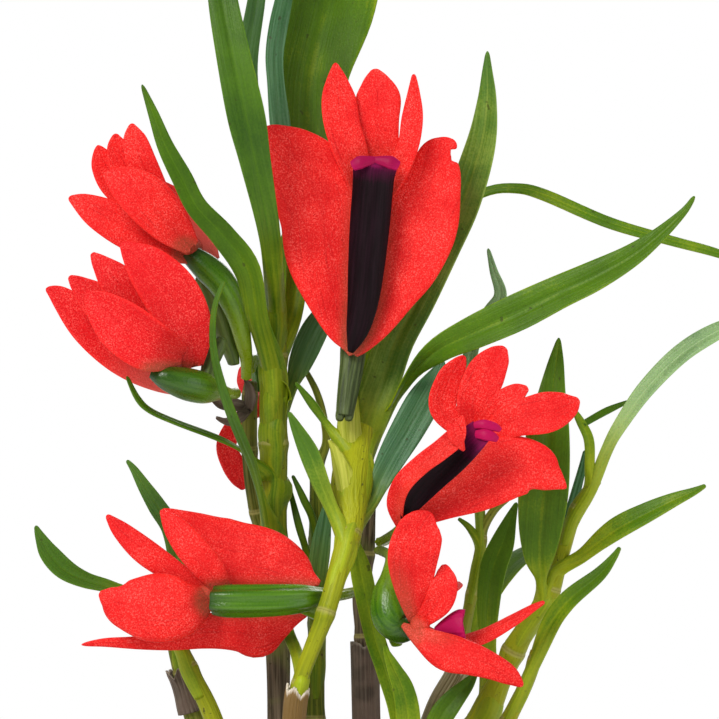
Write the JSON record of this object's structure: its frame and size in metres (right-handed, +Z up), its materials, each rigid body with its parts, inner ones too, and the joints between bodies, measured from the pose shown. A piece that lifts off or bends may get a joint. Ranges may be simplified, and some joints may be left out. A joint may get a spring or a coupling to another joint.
{
  "type": "potted orchid",
  "caption": "Flowering dendrobium orchid: scarlet blooms with dark lips, jointed canes and strap leaves, rooted in bark in a plain clay pot.",
  "frame": {"origin": "centre of the underside of the pot, on the surface that it stands on", "axes": "+Z up; -Y towards the front, the way the main flower faces; +X to the right as seen from the front"},
  "size_m": [0.1033, 0.0753, 0.2102],
  "materials": {
    "clay": "matte, unglazed",
    "bark": "rough, damp chips",
    "cane_and_leaf": "waxy satin",
    "old_cane": "dull, wrinkled",
    "dry_sheath": "papery, streaked",
    "petal": "fine crystalline grain, soft satin",
    "lip": "satin",
    "ovary": "waxy satin"
  },
  "bodies": {
    "root": {"pot": "clay", "growing_medium": "bark", "tall_cane": "cane_and_leaf", "old_flowering_cane": "old_cane", "front_cane": "cane_and_leaf", "old_green_cane": "cane_and_leaf", "old_brown_cane": "old_cane", "right_cane": "cane_and_leaf", "right_small_cane": "cane_and_leaf", "grey_cane": "old_cane", "left_cane": "cane_and_leaf", "left_small_cane": "cane_and_leaf", "young_shoot": "cane_and_leaf", "front_cane_sheath": "dry_sheath", "brown_cane_sheath": "dry_sheath", "left_cane_sheath": "dry_sheath", "grey_cane_sheath": "dry_sheath", "bloom_top_petals": "petal", "bloom_top_lip": "lip", "bloom_top_ovary": "ovary", "bloom_upper_left_petals": "petal", "bloom_upper_left_lip": "lip", "bloom_upper_left_ovary": "ovary", "bloom_middle_left_petals": "petal", "bloom_middle_left_lip": "lip", "bloom_middle_left_ovary": "ovary", "bloom_hidden_petals": "petal", "bloom_hidden_lip": "lip", "bloom_hidden_ovary": "ovary", "bloom_lower_left_petals": "petal", "bloom_lower_left_lip": "lip", "bloom_lower_left_ovary": "ovary", "bloom_right_petals": "petal", "bloom_right_lip": "lip", "bloom_right_ovary": "ovary", "bloom_lower_right_petals": "petal", "bloom_lower_right_lip": "lip", "bloom_lower_right_ovary": "ovary"}
  },
  "joints": []
}
